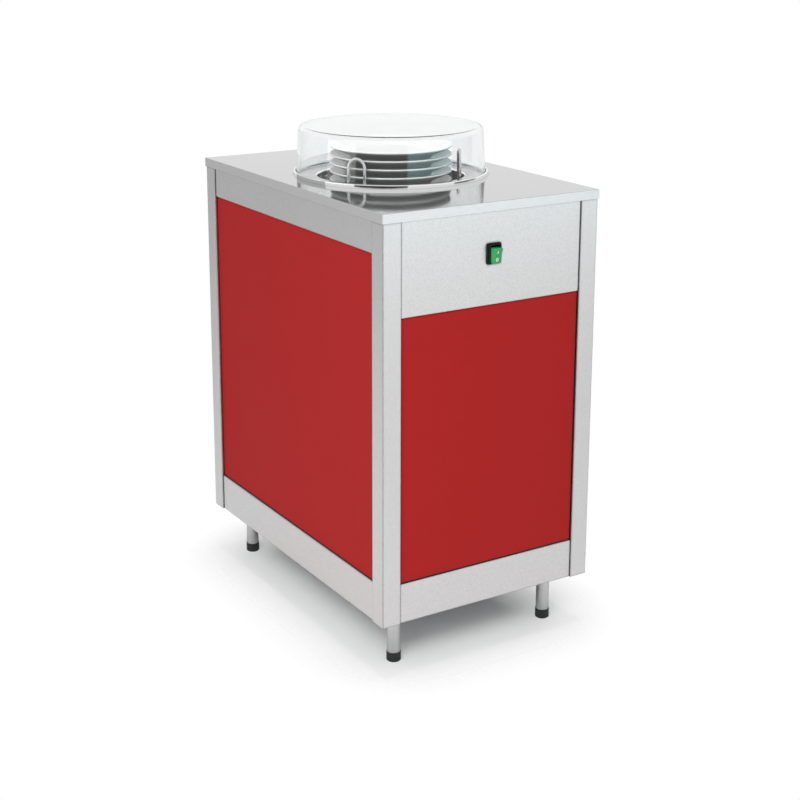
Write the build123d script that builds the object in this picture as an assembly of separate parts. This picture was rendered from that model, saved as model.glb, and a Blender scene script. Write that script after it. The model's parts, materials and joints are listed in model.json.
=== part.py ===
from build123d import *
import math
import os

# Heated plate dispenser: a floor-standing stainless cabinet with one sprung plate well under a clear cover.
# The frame's origin is on the floor under the middle of the worktop, +Z is up and the switch faces -Y.
# All sizes are in millimetres.

# Cabinet
cabinet_width = 460.0
cabinet_depth = 700.0
worktop_height = 850.0
body_clearance = 100.0          # floor to the underside of the body
worktop_gauge = 1.5
worktop_skirt = 17.0
worktop_overhang = 2.0
sheet = 1.2                     # gauge of posts, rails and panels in stainless sheet
bend = 1.6                      # outer radius of a fold
post_face = 37.0
post_lip = 16.0
rail_setback = 2.5              # rails and control panel behind the post faces
panel_setback = 5.0             # coloured panels behind the post faces
panel_thickness = 4.0
rail_return = 18.0
upper_rail_drop = 75.0          # worktop surface to the lower edge of an upper rail
control_panel_drop = 186.0
lower_rail_height = 75.0
butt_gap = 0.8                  # between a rail's end and a post's lip
panel_gap = 0.9                 # all round a coloured panel
clip_leg = 15.0
clip_gauge = 1.5
clip_length = 24.0
clip_inset = 70.0

# Floor pan and legs
pan_height = 12.0               # pan deck above the body's underside
pan_gap = 0.8
leg_inset = 58.0                # leg axis from the body's faces
leg_radius = 12.5
leg_wall = 1.5
leg_plate = 46.0
leg_plate_gauge = 3.0
leg_bolt_offset = 15.0
bolt_radius = 3.0
bolt_head_radius = 5.4
bolt_head_height = 4.0
bolt_clearance = 0.25
foot_radius = 13.5
foot_height = 18.0
foot_stem_radius = 5.0
foot_stem_length = 44.0
foot_gap = 0.3
insert_height = 20.0

# Rim, well and cover
rim_bearing = 18.5              # flange beyond the worktop's cut-out
rim_gauge = 1.5
rim_bead_height = 8.0
rim_bead_width = 4.2
rim_roll = 3.0                  # rounding from the flange down into the neck
rim_neck = 12.0
cutout_gap = 3.0                # casing to the edge of the worktop's cut-out
casing_gauge = 1.0
casing_lift = 95.0              # body's underside to the can's floor
liner_step = 7.5                # opening to the liner's inner face
liner_gauge = 0.8
insulation_space = 15.2         # liner to casing
insulation_gap = 0.3
base_ring_height = 10.0
base_ring_side = 10.0           # metal inside a guide's foot
cover_base_gap = 0.6            # between the cover's foot and the bead
cover_taper = 4.7
cover_wall = 3.0
cover_height = 93.0             # worktop surface to the cover's top
cover_corner = 10.0

# Plates
plate_count = 5
plate_radius = 117.0
plate_pitch = 15.3
plate_height = 24.0
plate_edge = 3.2
plate_foot_radius = 77.0
plate_foot_width = 5.0
plate_recess = 5.5              # foot to the underside of the well
plate_well = 11.0               # foot to the upper face of the well
plate_well_slope = 6.0
stack_rise = 57.0               # worktop surface to the top plate's rim

# Plate guides, carriage and springs
guide_count = 3
guide_first_angle = 210.0
guide_wire = 3.0                # radius
plate_clearance = 11.0          # plate's edge to a guide wire
opening_clearance = 6.5         # guide wire to the rim's neck
guide_half_width = 17.0
guide_rise = 48.0               # worktop surface to the top of a guide loop
running_clearance = 0.1
bracket_gauge = 3.0
bracket_edge = 6.0              # metal inside a wire
bracket_side = 4.0              # metal beside a wire
stop_gap = 0.3                  # bush flange to bracket when the carriage is up
bush_wall = 2.9
bush_flange_width = 2.2
bush_flange = 2.0
bush_height = 26.0
carrier_setback = 9.0           # carrier's edge inside the plates' edge
carrier_gauge = 2.5
arm_side = 4.0                  # metal beside and beyond the bushes
vent_count = 6
vent_radius = 16.0
vent_edge = 20.0                # metal between a warm-air hole and the carrier's edge
hanger_drop = 130.0             # underside of the arm to the spring's lower seat
hanger_gauge = 2.5
hanger_weld = 15.0
hanger_gap = 4.0                # hanger's leg to the spring
hanger_toe = 3.5                # hanger's foot beyond the spring
hanger_side_gap = 2.0           # hanger to the guide wires
spring_radius = 5.5
spring_wire = 1.4
spring_gap = 2.0                # spring to the hole in the arm

# Heater and electrics
guard_gap = 6.0                 # guard's edge to the base ring
guard_rise = 44.0
guard_gauge = 1.5
guard_spacer_radius = 4.0
guard_spacer_inset = 8.0
heater_width = 40.0
heater_thickness = 6.0
heater_stud_inset = 15.0        # pillars and terminal studs inside the element's edge
heater_rise = 20.0              # above the casing's floor
heater_leg_drop = 22.0
heater_leg_radius = 3.2
heater_leg_spacing = 44.0
heater_leg_gap = 1.0
thermostat_radius = 12.0
thermostat_height = 12.0
thermostat_place = 40.0         # behind the well's axis
thermostat_tab = (0.8, 6.0, 8.0)
terminal_box_size = (90.0, 60.0, 32.0)
terminal_box_lid_height = 8.0
terminal_box_lip = 1.0
terminal_box_x = -60.0
terminal_box_inset = 123.0      # from the body's rear face
gland_inset = 78.0              # from the body's right face
gland_bore = 5.0
gland_thread = 8.0
gland_thread_length = 12.0
gland_hex = 12.0
gland_flange = 4.0
gland_nut_height = 4.0
gland_dome = 12.4

# Rocker switch
switch_drop = 93.0              # worktop surface to the switch's centre
switch_flange_rim = 2.0         # flange beyond the collar
switch_flange_gauge = 3.0
switch_collar_wall = 3.1
switch_collar_depth = 6.5
switch_side_wall = 1.3
switch_end_wall = 1.0
switch_back_wall = 5.0
switch_gap = 0.4
rocker_width = 19.0
rocker_radius = 15.6
rocker_setback = 1.0            # pivot axis behind the control panel's face
rocker_proud = 7.5              # rocker's ends beyond the collar
rocker_end_relief = 1.6
rocker_dip = 2.0
rocker_pivot_radius = 1.8
rocker_tilt = 11.0
pivot_seat_depth = 1.0
pivot_end_gap = 0.5

# Rear panel
vent_slot = (120.0, 6.0)
vent_slot_pitch = 14.0
vent_slot_rows = 4
vent_slot_columns = 2
vent_slot_spacing = 150.0
low_vent_rise = 60.0            # lower rail to the first slot
high_vent_drop = 90.0           # upper rail's edge down to the first slot
screw_radius = 2.0
screw_head_radius = 4.2
screw_head_height = 2.4
screw_inset = 14.0
screw_rise = 25.0

half_width = cabinet_width / 2 - worktop_overhang
half_depth = cabinet_depth / 2 - worktop_overhang
deck_underside = worktop_height - worktop_gauge
skirt_bottom = worktop_height - worktop_skirt
body_bottom = body_clearance
lower_rail_top = body_bottom + lower_rail_height
upper_rail_bottom = worktop_height - upper_rail_drop
control_panel_bottom = worktop_height - control_panel_drop
pan_top = body_bottom + pan_height + sheet

guide_circle = plate_radius + plate_clearance + guide_wire
opening_radius = guide_circle + guide_wire + opening_clearance
liner_radius = opening_radius + liner_step
casing_radius = liner_radius + liner_gauge + insulation_space + casing_gauge
cutout_radius = casing_radius + cutout_gap
rim_outer_radius = cutout_radius + rim_bearing
casing_bottom = body_bottom + casing_lift
casing_floor = casing_bottom + casing_gauge
guide_foot = casing_floor + 0.5
base_ring_inner = guide_circle - guide_wire - base_ring_side

bush_radius = guide_wire + running_clearance + bush_wall
carrier_radius = plate_radius - carrier_setback
arm_width = 2 * (guide_half_width + bush_radius + arm_side)
arm_reach = guide_circle + bush_radius + arm_side
vent_circle = carrier_radius - vent_radius - vent_edge
guard_radius = base_ring_inner - guard_gap
spacer_circle = guard_radius - guard_spacer_inset
heater_outer = spacer_circle - guard_spacer_radius
heater_inner = heater_outer - heater_width
heater_circle = heater_outer - heater_stud_inset
stack_foot = worktop_height + stack_rise - plate_height - (plate_count - 1) * plate_pitch
arm_low = stack_foot - carrier_gauge
bracket_low = stack_foot + bush_flange + stop_gap
hanger_low = arm_low - hanger_drop
hanger_leg = guide_circle - spring_radius - hanger_gap - hanger_gauge
hanger_reach = guide_circle + spring_radius + hanger_toe
hanger_width = 2 * (guide_half_width - guide_wire - hanger_side_gap)

rocker_half_height = rocker_radius - rocker_end_relief
rocker_face = rocker_setback + switch_collar_depth + rocker_proud
cavity_radius = rocker_radius + switch_gap
cavity_width = rocker_width + 2 * switch_gap
switch_body = (cavity_width + 2 * switch_side_wall, 2 * (cavity_radius + switch_end_wall))
switch_body_depth = rocker_setback + cavity_radius + switch_back_wall
switch_collar = (cavity_width + 2 * switch_collar_wall, switch_body[1])
switch_flange = (switch_collar[0] + 2 * switch_flange_rim, switch_collar[1] + 2 * switch_flange_rim)

guide_angles = [guide_first_angle + i * 360 / guide_count for i in range(guide_count)]


def block(x, y, z):
    """A box from three (low, high) pairs."""
    size = [high - low for low, high in (x, y, z)]
    centre = [(low + high) / 2 for low, high in (x, y, z)]
    return Pos(*centre) * Box(*size)


def rod(radius, low, high, x=0.0, y=0.0):
    """A vertical cylinder."""
    return Pos(x, y, (low + high) / 2) * Cylinder(radius, high - low)


def tube(outer, inner, low, high, x=0.0, y=0.0):
    """A vertical tube."""
    return rod(outer, low, high, x, y) - rod(inner, low, high, x, y)


def folded(outline, gauge, length):
    """A bent sheet: the outline is its outer line, the metal lies to its left, and it runs along +Z."""
    line = FilletPolyline(*outline, radius=bend)
    section = make_face(offset(line, gauge, side=Side.LEFT))
    return extrude(section, length)


def turned(points):
    """A solid turned about Z from a closed (radius, height) outline."""
    return revolve(make_face(Plane.XZ * Polyline(*points, close=True)), Axis.Z)


def each_guide(shape):
    """The shape, drawn on the +X side, at each guide's angle."""
    return [Rot(0, 0, angle) * shape for angle in guide_angles]


def at_corners(shape):
    """The shape, drawn in the +X +Y quarter, mirrored into the four corners by name."""
    return {
        "rear_right": shape,
        "rear_left": mirror(shape, Plane.YZ),
        "front_right": mirror(shape, Plane.XZ),
        "front_left": mirror(mirror(shape, Plane.YZ), Plane.XZ),
    }


# Worktop and frame

def worktop():
    outer = block((-cabinet_width / 2, cabinet_width / 2), (-cabinet_depth / 2, cabinet_depth / 2),
                  (skirt_bottom, worktop_height))
    outer = fillet(outer.edges().filter_by(Axis.Z), bend)
    inner_x = cabinet_width / 2 - worktop_gauge
    inner_y = cabinet_depth / 2 - worktop_gauge
    hollow = block((-inner_x, inner_x), (-inner_y, inner_y), (skirt_bottom, deck_underside))
    tray = outer - hollow
    tray = fillet(tray.faces().sort_by(Axis.Z)[-1].outer_wire().edges(), 0.8)
    return tray - rod(cutout_radius, deck_underside, worktop_height)


def worktop_stiffeners():
    """Two hat channels under the worktop, before and behind the well."""
    flange, web, depth = 15.0, 30.0, 25.0
    outline = [(web / 2 + flange, 0), (web / 2, 0), (web / 2, -depth), (-web / 2, -depth), (-web / 2, 0),
               (-web / 2 - flange, 0)]
    reach = half_width - rail_setback - rail_return - pan_gap
    hat = Plane.YZ * folded(outline, sheet, 2 * reach)
    place_y = cutout_radius + flange + web
    return [Pos(-reach, side * place_y, deck_underside) * hat for side in (-1, 1)]


def post():
    """A corner post: two faces meeting at the outer corner, each ending in a lip turned inwards."""
    outline = [(half_width - post_lip, half_depth - post_face), (half_width, half_depth - post_face),
               (half_width, half_depth), (half_width - post_face, half_depth),
               (half_width - post_face, half_depth - post_lip)]
    return Pos(0, 0, body_bottom) * folded(outline, sheet, deck_underside - body_bottom)


def side_rail(low, high):
    """A channel on the left face: its web shows, and both edges return inwards."""
    face = half_width - rail_setback
    outline = [(-face + rail_return, high), (-face, high), (-face, low), (-face + rail_return, low)]
    reach = half_depth - post_face - butt_gap
    channel = folded(outline, sheet, 2 * reach)
    return Pos(0, reach, 0) * (Plane.XZ * channel)


def end_rail(low, high):
    """A channel on the front face."""
    face = half_depth - rail_setback
    outline = [(-face + rail_return, high), (-face, high), (-face, low), (-face + rail_return, low)]
    reach = half_width - post_face - butt_gap
    channel = folded(outline, sheet, 2 * reach)
    return Pos(-reach, 0, 0) * (Plane.YZ * channel)


def switch_cutout():
    """The hole in the control panel for the switch body."""
    width, height = switch_body
    y = half_depth - rail_setback
    z = worktop_height - switch_drop
    return block((-width / 2 - switch_gap, width / 2 + switch_gap), (-y - sheet, -y + 2 * sheet),
                 (z - height / 2 - switch_gap, z + height / 2 + switch_gap))


def rear_panel():
    """A lift-off service panel with two banks of vent slots."""
    low = lower_rail_top + panel_gap
    panel = mirror(end_rail(low, deck_underside), Plane.XZ)
    face = half_depth - rail_setback - sheet
    slots = []
    for bank in (low + low_vent_rise, upper_rail_bottom - high_vent_drop):
        for row in range(vent_slot_rows):
            for column in range(vent_slot_columns):
                x = (column - (vent_slot_columns - 1) / 2) * vent_slot_spacing
                z = bank + row * vent_slot_pitch
                slots.append(Pos(x, face, z) * Rot(90, 0, 0) * extrude(SlotOverall(*vent_slot), 2 * sheet, both=True))
    return panel - slots


def rear_screws():
    """Screws with bevelled heads along the rear panel's sides."""
    face = half_depth - rail_setback
    bottom = (Align.CENTER, Align.CENTER, Align.MIN)
    head = Rot(-90, 0, 0) * Cone(screw_head_radius, screw_radius, screw_head_height, align=bottom)
    return [Pos(x * (half_width - post_face - screw_inset), face, z) * head
            for x in (-1, 1)
            for z in (lower_rail_top + screw_rise, (lower_rail_top + upper_rail_bottom) / 2, upper_rail_bottom)]


# Coloured panels and their clips

def side_panel():
    """The coloured panel of the left face."""
    outer = half_width - panel_setback
    reach = half_depth - post_face - panel_gap
    panel = block((-outer, -outer + panel_thickness), (-reach, reach),
                  (lower_rail_top + panel_gap, upper_rail_bottom - panel_gap))
    return fillet(panel.faces().sort_by(Axis.X)[0].edges(), 0.5)


def front_panel():
    """The coloured panel under the control panel."""
    outer = half_depth - panel_setback
    reach = half_width - post_face - panel_gap
    panel = block((-reach, reach), (-outer, -outer + panel_thickness),
                  (lower_rail_top + panel_gap, control_panel_bottom - panel_gap))
    return fillet(panel.faces().sort_by(Axis.Y)[0].edges(), 0.5)


def clip(low, turned):
    """An angle clip between a rail's return and a panel's back, with the panel on its -X side."""
    outline = [(0, clip_leg), (0, 0), (clip_leg, 0)]
    angle = folded(outline, clip_gauge, clip_length)
    angle = Pos(0, clip_length / 2, 0) * Rot(90, 0, 0) * angle
    if turned:
        angle = mirror(angle, Plane.XY)
    return Pos(0, 0, low) * angle


def side_clips(sign):
    """Four clips behind one side panel."""
    back = half_width - panel_setback - panel_thickness
    reach = half_depth - post_face - clip_inset
    clips = [Pos(-back, y, 0) * clip(z, turned)
             for y in (-reach, reach)
             for z, turned in ((lower_rail_top, False), (upper_rail_bottom, True))]
    return clips if sign < 0 else [mirror(piece, Plane.YZ) for piece in clips]


def front_clips():
    """Four clips behind the front panel."""
    back = half_depth - panel_setback - panel_thickness
    reach = half_width - post_face - clip_inset
    return [Pos(x, -back, 0) * Rot(0, 0, 90) * clip(z, turned)
            for x in (-reach, reach)
            for z, turned in ((lower_rail_top, False), (control_panel_bottom, True))]


# Floor pan, legs and feet

def leg_places():
    return half_width - leg_inset, half_depth - leg_inset


def leg_bolt_places():
    x, y = leg_places()
    return [(x - leg_bolt_offset, y + leg_bolt_offset), (x + leg_bolt_offset, y - leg_bolt_offset)]


def floor_pan():
    """The cabinet's floor: a deck with notched corners and an edge turned down onto each lower rail."""
    reach_x = half_width - rail_setback - sheet - pan_gap
    reach_y = half_depth - rail_setback - sheet - pan_gap
    notch_x = half_width - post_face - pan_gap
    notch_y = half_depth - post_face - pan_gap
    low = body_bottom + sheet
    deck = block((-reach_x, reach_x), (-notch_y, notch_y), (low, pan_top))
    deck += block((-notch_x, notch_x), (-reach_y, reach_y), (low, pan_top))
    deck -= block((-reach_x + sheet, reach_x - sheet), (-notch_y, notch_y), (low, pan_top - sheet))
    deck -= block((-notch_x, notch_x), (-reach_y + sheet, reach_y - sheet), (low, pan_top - sheet))
    for x, y in leg_bolt_places():
        hole = rod(bolt_radius + bolt_clearance, low, pan_top, x, y)
        deck -= list(at_corners(hole).values())
    return deck


def leg():
    """A tube with a threaded plug in its foot end, welded to a plate that bolts under the floor pan."""
    x, y = leg_places()
    low = foot_height + foot_gap
    plate_top = pan_top - sheet
    plate_low = plate_top - leg_plate_gauge
    half = leg_plate / 2
    plate = block((x - half, x + half), (y - half, y + half), (plate_low, plate_top))
    plate = chamfer(plate.edges().filter_by(Axis.Z), 4)
    for hole_x, hole_y in leg_bolt_places():
        plate -= rod(bolt_radius + bolt_clearance, plate_low, plate_top, hole_x, hole_y)
    shank = rod(leg_radius, low, plate_low, x, y)
    shank -= rod(leg_radius - leg_wall, low + insert_height, plate_low, x, y)
    return plate + shank - rod(foot_stem_radius + running_clearance, low, low + insert_height, x, y)


def foot():
    """A moulded foot with a bevelled lower edge, on the screw that sets its height."""
    x, y = leg_places()
    top = foot_height + foot_stem_length
    outline = [(0, 0), (foot_radius - 1.5, 0), (foot_radius, 1.5), (foot_radius, foot_height),
               (foot_stem_radius, foot_height), (foot_stem_radius, top), (0, top)]
    return Pos(x, y, 0) * turned(outline)


def leg_bolts():
    """Hexagon bolts that hold the four leg plates to the pan."""
    plate_low = pan_top - sheet - leg_plate_gauge
    bolts = []
    for x, y in leg_bolt_places():
        head = extrude(RegularPolygon(bolt_head_radius, 6), -bolt_head_height)
        bolt = Pos(x, y, plate_low) * head + rod(bolt_radius, plate_low, pan_top + 5, x, y)
        bolts += list(at_corners(bolt).values())
    return bolts


# Rim, well and cover

def rim_ring():
    """The polished rim: a neck rolled into a flat flange that ends in a raised bead."""
    top = worktop_height
    face = top + rim_gauge
    crown = top + rim_bead_height
    bevel = rim_bead_width / 3
    bead_inner = rim_outer_radius - rim_bead_width
    return turned([(opening_radius, top - rim_neck), (opening_radius + rim_gauge, top - rim_neck),
                   (opening_radius + rim_gauge, top), (rim_outer_radius, top), (rim_outer_radius, crown - bevel),
                   (rim_outer_radius - bevel, crown), (bead_inner + bevel, crown), (bead_inner, crown - bevel),
                   (bead_inner, face), (opening_radius + rim_roll, face), (opening_radius, face - rim_roll)])


def heater_leg_places():
    """Where the heater's two legs pass the can's floor."""
    half = heater_leg_spacing / 2
    x = math.sqrt(heater_circle ** 2 - half ** 2)
    return [(x, -half), (x, half)]


def well_casing():
    """The outer can, hung from the rim, with a closed floor."""
    can = rod(casing_radius, casing_bottom, worktop_height)
    can -= rod(casing_radius - casing_gauge, casing_floor, worktop_height)
    for x, y in heater_leg_places():
        can -= rod(heater_leg_radius + heater_leg_gap, casing_bottom, casing_floor, x, y)
    return can


def insulation():
    """Mineral-wool blanket between the can and the liner."""
    return tube(casing_radius - casing_gauge - insulation_gap, liner_radius + liner_gauge + insulation_gap,
                casing_floor + base_ring_height + insulation_gap, worktop_height - 2)


def well_liner():
    return tube(liner_radius + liner_gauge, liner_radius, casing_floor + base_ring_height, worktop_height)


def guide_base_ring():
    """The ring on the can's floor that the guide legs stand in."""
    outer = casing_radius - casing_gauge - insulation_gap
    ring = tube(outer, base_ring_inner, casing_floor, casing_floor + base_ring_height)
    for y in (-guide_half_width, guide_half_width):
        hole = rod(guide_wire + running_clearance, casing_floor, casing_floor + base_ring_height, guide_circle, y)
        ring -= each_guide(hole)
    return ring


def cover():
    """The clear cover: a tapered wall that stands inside the bead and a flat top with a bevelled corner."""
    base = worktop_height + rim_gauge
    top = worktop_height + cover_height
    foot = rim_outer_radius - rim_bead_width - cover_base_gap
    head = foot - cover_taper
    step = cover_corner * (1 - math.sqrt(0.5))
    inner_head = head - cover_wall
    inner_corner = cover_corner - cover_wall
    return turned([(foot, base), (head, top - cover_corner), (head - step, top - step), (head - cover_corner, top),
                   (0, top), (0, top - cover_wall), (inner_head - inner_corner, top - cover_wall),
                   (inner_head, top - cover_corner), (foot - cover_wall, base)])


# Guides, carrier and springs

def guide_loop():
    """An inverted U of round wire that runs the depth of the well and stands above the rim."""
    bend_height = worktop_height + guide_rise - guide_wire - guide_half_width
    foot_left = (guide_circle, -guide_half_width, guide_foot)
    foot_right = (guide_circle, guide_half_width, guide_foot)
    top_left = (guide_circle, -guide_half_width, bend_height)
    top_right = (guide_circle, guide_half_width, bend_height)
    crown = (guide_circle, 0, bend_height + guide_half_width)
    path = Line(foot_left, top_left) + ThreePointArc(top_left, crown, top_right) + Line(top_right, foot_right)
    return sweep(Plane(foot_left) * Circle(guide_wire), path)


def guide_bracket():
    """The plate that ties a guide's legs to the liner, stops the carriage and holds the spring's upper end."""
    high = bracket_low + bracket_gauge
    inner = guide_circle - guide_wire - bracket_edge
    half = guide_half_width + guide_wire + bracket_side
    plate = block((inner, liner_radius), (-half, half), (bracket_low, high))
    plate &= rod(liner_radius - running_clearance, bracket_low, high)
    for y in (-guide_half_width, guide_half_width):
        plate -= rod(guide_wire + running_clearance, bracket_low, high, guide_circle, y)
    return plate


def carrier():
    """The platform under the plates, with warm-air holes and an arm to each guide."""
    disc = rod(carrier_radius, arm_low, stack_foot)
    arm = block((0, arm_reach), (-arm_width / 2, arm_width / 2), (arm_low, stack_foot))
    disc += each_guide(arm)
    for y in (-guide_half_width, guide_half_width):
        disc -= each_guide(rod(bush_radius + running_clearance, arm_low, stack_foot, guide_circle, y))
    disc -= each_guide(rod(spring_radius + spring_gap, arm_low, stack_foot, guide_circle))
    disc -= rod(vent_radius, arm_low, stack_foot)
    for i in range(vent_count):
        disc -= Rot(0, 0, (i + 0.5) * 360 / vent_count) * rod(vent_radius, arm_low, stack_foot, vent_circle)
    return disc


def hanger():
    """A folded strip welded under an arm: its leg reaches down to carry the spring's lower end."""
    outline = [(hanger_leg - hanger_weld, arm_low - hanger_gauge), (hanger_leg, arm_low - hanger_gauge),
               (hanger_leg, hanger_low), (hanger_reach, hanger_low)]
    return Pos(0, hanger_width / 2, 0) * (Plane.XZ * folded(outline, hanger_gauge, hanger_width))


def carrier_bushes():
    """Flanged nylon bushes that run on the guide wires, two on each arm."""
    bushes = []
    for y in (-guide_half_width, guide_half_width):
        bush = rod(bush_radius, stack_foot - bush_height, stack_foot, guide_circle, y)
        bush += rod(bush_radius + bush_flange_width, stack_foot, stack_foot + bush_flange, guide_circle, y)
        bush -= rod(guide_wire + running_clearance, stack_foot - bush_height, stack_foot + bush_flange, guide_circle, y)
        bushes += each_guide(bush)
    return bushes


def spring():
    """A tension spring as a plain sleeve of its coil's size, from the hanger's foot to the guide bracket."""
    return tube(spring_radius, spring_radius - spring_wire, hanger_low + hanger_gauge, bracket_low, guide_circle, 0)


# Plates

def plate(foot):
    """A plate from its foot's underside: a turned foot, a recess under the well and a wide sloping rim."""
    foot_inner = plate_foot_radius - plate_foot_width
    outline = [(0, plate_recess), (foot_inner, plate_recess), (foot_inner, 0), (plate_foot_radius, 0),
               (plate_radius, plate_height - plate_edge), (plate_radius, plate_height),
               (plate_foot_radius, plate_pitch), (foot_inner, plate_pitch),
               (foot_inner - plate_well_slope, plate_well), (0, plate_well)]
    return Pos(0, 0, foot) * turned(outline)


# Heater and electrics

def heater_element():
    """A flat ring element on three pillars, with two terminal studs through the can's floor."""
    low = casing_floor + heater_rise
    ring = tube(heater_outer, heater_inner, low, low + heater_thickness)
    ring += each_guide(rod(heater_leg_radius, casing_floor, low, heater_circle))
    for x, y in heater_leg_places():
        ring += rod(heater_leg_radius, casing_bottom - heater_leg_drop, low, x, y)
    return ring


def heater_guard():
    """A perforated disc over the element, on three spacers."""
    low = casing_floor + guard_rise
    disc = rod(guard_radius, low, low + guard_gauge)
    for i in range(vent_count):
        disc -= Rot(0, 0, (i + 0.5) * 360 / vent_count) * rod(vent_radius, low, low + guard_gauge, vent_circle)
    return disc + each_guide(rod(guard_spacer_radius, casing_floor, low, spacer_circle))


def thermostat():
    """A disc thermostat pressed up to the can's floor, with its two tabs."""
    low = casing_bottom - thermostat_height
    body = rod(thermostat_radius, low, casing_bottom, 0, thermostat_place)
    gauge, width, length = thermostat_tab
    for x in (-5, 5):
        body += block((x - gauge / 2, x + gauge / 2), (thermostat_place - width / 2, thermostat_place + width / 2),
                      (low - length, low))
    return body


def terminal_box_block(margin, low, high):
    """A block over the terminal box's place, wider than the box by the margin on each side."""
    half_x = terminal_box_size[0] / 2 + margin
    half_y = terminal_box_size[1] / 2 + margin
    x, y = terminal_box_x, half_depth - terminal_box_inset
    return block((x - half_x, x + half_x), (y - half_y, y + half_y), (low, high))


def terminal_box():
    """The junction box on the floor pan."""
    box = terminal_box_block(0, pan_top, pan_top + terminal_box_size[2])
    return chamfer(box.edges().filter_by(Axis.Z), 3)


def terminal_box_lid():
    low = pan_top + terminal_box_size[2]
    lid = terminal_box_block(terminal_box_lip, low, low + terminal_box_lid_height)
    return chamfer(lid.faces().sort_by(Axis.Z)[-1].edges(), 2)


def gland_turned(shape):
    """A shape drawn along +Z from the rear rail's outer face, laid along +Y at the gland's place."""
    face = half_depth - rail_setback
    return Pos(half_width - gland_inset, face, body_bottom + lower_rail_height / 2) * Rot(-90, 0, 0) * shape


def cable_gland():
    """The supply cable's gland: a threaded body through the rear lower rail and a domed nut outside it."""
    flange = extrude(RegularPolygon(gland_hex, 6), gland_flange)
    bottom = (Align.CENTER, Align.CENTER, Align.MIN)
    dome = Pos(0, 0, gland_flange) * Cone(gland_hex - 1.5, gland_thread, gland_dome, align=bottom)
    body = flange + dome + rod(gland_thread, -gland_thread_length, gland_flange)
    return gland_turned(body - rod(gland_bore, -gland_thread_length, gland_flange + gland_dome))


def gland_nut():
    nut = extrude(RegularPolygon(gland_hex, 6), gland_nut_height) - rod(gland_thread + 0.05, 0, gland_nut_height)
    return gland_turned(Pos(0, 0, -sheet - gland_nut_height) * nut)


# Rocker switch

def switch_place():
    return -(half_depth - rail_setback), worktop_height - switch_drop


def switch_box(size, low, high):
    """A block centred on the switch, from low to high in front of the control panel's face."""
    y, z = switch_place()
    half_x, half_z = size[0] / 2, size[1] / 2
    return block((-half_x, half_x), (y - high, y - low), (z - half_z, z + half_z))


def rocker_pivot():
    """The rocker's axis: its height and its place in front of the panel."""
    y, z = switch_place()
    return y + rocker_setback, z


def switch_bezel():
    """The switch's moulded housing: flange, raised collar, body and the well that the rocker turns in."""
    flange = fillet(switch_box(switch_flange, 0, switch_flange_gauge).edges().filter_by(Axis.Y), 3)
    collar = fillet(switch_box(switch_collar, 0, switch_collar_depth).edges().filter_by(Axis.Y), 2)
    body = switch_box(switch_body, -switch_body_depth, 0)
    pivot_y, pivot_z = rocker_pivot()
    cavity = block((-cavity_width / 2, cavity_width / 2), (pivot_y - rocker_face, pivot_y),
                   (pivot_z - cavity_radius, pivot_z + cavity_radius))
    bowl = Pos(0, pivot_y, pivot_z) * Rot(0, 90, 0) * Cylinder(cavity_radius, cavity_width)
    seat = Cylinder(rocker_pivot_radius + running_clearance, cavity_width + 2 * pivot_seat_depth)
    return flange + collar + body - cavity - bowl - Pos(0, pivot_y, pivot_z) * Rot(0, 90, 0) * seat


def switch_terminals():
    """Four spade tabs on the back of the switch."""
    low = -switch_body_depth - 10
    y, z = switch_place()
    return [block((x - 3, x + 3), (y + switch_body_depth, y + switch_body_depth + 9), (z + dz - 0.4, z + dz + 0.4))
            for x in (-5, 5) for dz in (-7, 7)]


def rocker():
    """The rocker: a drum about its pivot under two faces that meet in a shallow valley, at rest tipped off."""
    drum = Rot(0, 90, 0) * Cylinder(rocker_radius, rocker_width)
    drum &= block((-rocker_width, rocker_width), (-8, 1), (-rocker_radius, rocker_radius))
    cap = make_face(Polyline((1, -rocker_half_height), (-rocker_face, -rocker_half_height),
                             (-rocker_face + rocker_dip, 0), (-rocker_face, rocker_half_height),
                             (1, rocker_half_height), close=True))
    cap = Pos(-rocker_width / 2, 0, 0) * (Plane.YZ * extrude(cap, rocker_width))
    cap &= block((-rocker_width, rocker_width), (-2 * rocker_face, -7), (-rocker_radius, rocker_radius))
    pivot = Rot(0, 90, 0) * Cylinder(rocker_pivot_radius, cavity_width + 2 * (pivot_seat_depth - pivot_end_gap))
    pivot_y, pivot_z = rocker_pivot()
    return Pos(0, pivot_y, pivot_z) * Rot(rocker_tilt, 0, 0) * (drum + cap + pivot)


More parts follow.
